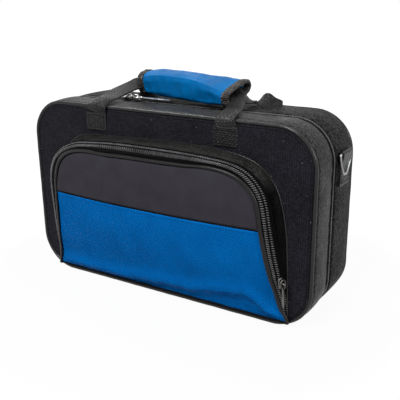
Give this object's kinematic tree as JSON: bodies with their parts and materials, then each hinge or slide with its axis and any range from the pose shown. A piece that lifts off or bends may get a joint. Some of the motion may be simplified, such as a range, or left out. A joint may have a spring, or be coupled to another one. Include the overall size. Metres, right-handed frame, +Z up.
{
  "type": "clarinet case",
  "caption": "Soft zip clarinet case standing on its long edge, with a moulded tray, a zipped front pocket, a wrapped carry handle and side rings.",
  "frame": {"origin": "on the surface the case stands on, at mid width and at the middle of the body's depth, a little behind the main zip", "axes": "+X to the right along the case's length, +Y to the back, +Z up; the pocket faces -Y"},
  "size_m": [0.3824, 0.1354, 0.2465],
  "materials": {
    "board": "dense foam board",
    "woven_cover": "matte woven nylon",
    "gusset_cloth": "matte woven nylon",
    "piping": "smooth vinyl cord",
    "zip_tape": "ribbed zip tape",
    "zip_coil": "nylon coil",
    "pocket_coil": "nylon coil",
    "smooth_panel": "smooth grained synthetic leather",
    "blue_weave": "woven nylon with a soft sheen",
    "blue_satin": "satin woven nylon",
    "binding": "ribbed binding tape",
    "webbing": "ribbed webbing",
    "plush": "short plush",
    "pocket_lining": "plain lining cloth",
    "foam": "foam",
    "hook_and_loop": "hook and loop tape",
    "slider_metal": "dark nickel",
    "ring_metal": "dark nickel wire"
  },
  "bodies": {
    "rear_half": {"rear_board": "board", "rear_panel_cover": "woven_cover", "rear_band_cover": "woven_cover", "rear_piping": "piping", "rear_zip_coil": "zip_coil", "rear_zip_tape": "zip_tape", "hinge_strip": "zip_tape", "instrument_tray": "plush", "rear_strap_anchors": "webbing", "ring_tab_right": "webbing", "ring_tab_left": "webbing"},
    "lid": {"lid_board": "board", "lid_panel_cover": "woven_cover", "lid_band_cover": "woven_cover", "front_piping": "piping", "lid_zip_coil": "zip_coil", "lid_zip_tape": "zip_tape", "lid_lining": "plush", "front_strap_anchors": "webbing", "pocket_gusset": "gusset_cloth", "pocket_gusset_tape": "zip_tape", "pocket_coil_back": "pocket_coil", "pocket_gusset_welt": "gusset_cloth"},
    "pocket_flap": {"pocket_coil_front": "pocket_coil", "pocket_flap_tape": "zip_tape", "pocket_piping": "piping", "pocket_upper_panel": "smooth_panel", "pocket_lower_panel": "blue_weave", "pocket_flap_lining": "pocket_lining"},
    "carry_handle": {"rear_loop_strap": "webbing", "handle_wrap": "blue_satin", "wrap_bindings": "binding", "handle_pad": "foam", "hook_patch": "hook_and_loop"},
    "wrap_flap": {"wrap_flap": "blue_satin", "flap_bindings": "binding", "flap_pad": "foam", "loop_patch": "hook_and_loop"},
    "front_loop": {"front_loop_strap": "webbing"},
    "d_ring_right": {"d_ring_right": "ring_metal"},
    "d_ring_left": {"d_ring_left": "ring_metal"},
    "main_slider_left": {"main_slider_left": "slider_metal"},
    "main_slider_right": {"main_slider_right": "slider_metal"},
    "main_pull_left": {"main_pull_left": "slider_metal"},
    "main_pull_right": {"main_pull_right": "slider_metal"},
    "pocket_slider": {"pocket_slider": "slider_metal"},
    "pocket_pull": {"pocket_pull": "slider_metal"}
  },
  "joints": [
    {"name": "lid_hinge", "type": "hinge", "parent": "rear_half", "child": "lid", "pos_m": [0, -0.00585, 0], "axis": [1, 0, 0], "range_deg": [0, 170], "deforming": ["hinge_strip"]},
    {"name": "pocket_flap_hinge", "type": "hinge", "parent": "lid", "child": "pocket_flap", "pos_m": [0, -0.0502, 0.006], "axis": [1, 0, 0], "range_deg": [0, 80]},
    {"name": "handle_swing", "type": "hinge", "parent": "rear_half", "child": "carry_handle", "pos_m": [0, 0.051, 0.2045], "axis": [1, 0, 0], "range_deg": [-135, 0], "deforming": ["rear_loop_strap"]},
    {"name": "wrap_flap_hinge", "type": "hinge", "parent": "carry_handle", "child": "wrap_flap", "pos_m": [0, 0.0335, 0.2325], "axis": [1, 0, 0], "range_deg": [-150, 0]},
    {"name": "front_loop_swing", "type": "hinge", "parent": "lid", "child": "front_loop", "pos_m": [0, -0.051, 0.2045], "axis": [1, 0, 0], "range_deg": [0, 180], "deforming": ["front_loop_strap"]},
    {"name": "d_ring_right_swing", "type": "hinge", "parent": "rear_half", "child": "d_ring_right", "pos_m": [0.1876, 0.022, 0.176], "axis": [0, -1, 0], "range_deg": [0, 150]},
    {"name": "d_ring_left_swing", "type": "hinge", "parent": "rear_half", "child": "d_ring_left", "pos_m": [-0.1876, 0.022, 0.176], "axis": [0, 1, 0], "range_deg": [0, 150]},
    {"name": "main_slider_left_travel", "type": "slide", "parent": "rear_half", "child": "main_slider_left", "axis": [-1, 0, 0], "range_m": [0, 0.042]},
    {"name": "main_slider_right_travel", "type": "slide", "parent": "rear_half", "child": "main_slider_right", "axis": [1, 0, 0], "range_m": [0, 0.136]},
    {"name": "main_pull_left_swivel", "type": "hinge", "parent": "main_slider_left", "child": "main_pull_left", "pos_m": [-0.072, -0.00585, 0.2168], "axis": [0, 0, 1], "range_deg": [-75, 0]},
    {"name": "main_pull_right_swivel", "type": "hinge", "parent": "main_slider_right", "child": "main_pull_right", "pos_m": [-0.058, -0.00585, 0.2168], "axis": [0, 0, 1], "range_deg": [-75, 0]},
    {"name": "pocket_slider_travel", "type": "slide", "parent": "lid", "child": "pocket_slider", "axis": [-0.12, -0.1901, 0.9744], "range_m": [0, 0.035]},
    {"name": "pocket_pull_swing", "type": "hinge", "parent": "pocket_slider", "child": "pocket_pull", "pos_m": [0.15487, -0.06129, 0.05965], "axis": [-0.34, -0.9403, -0.017], "range_deg": [0, 90]}
  ]
}
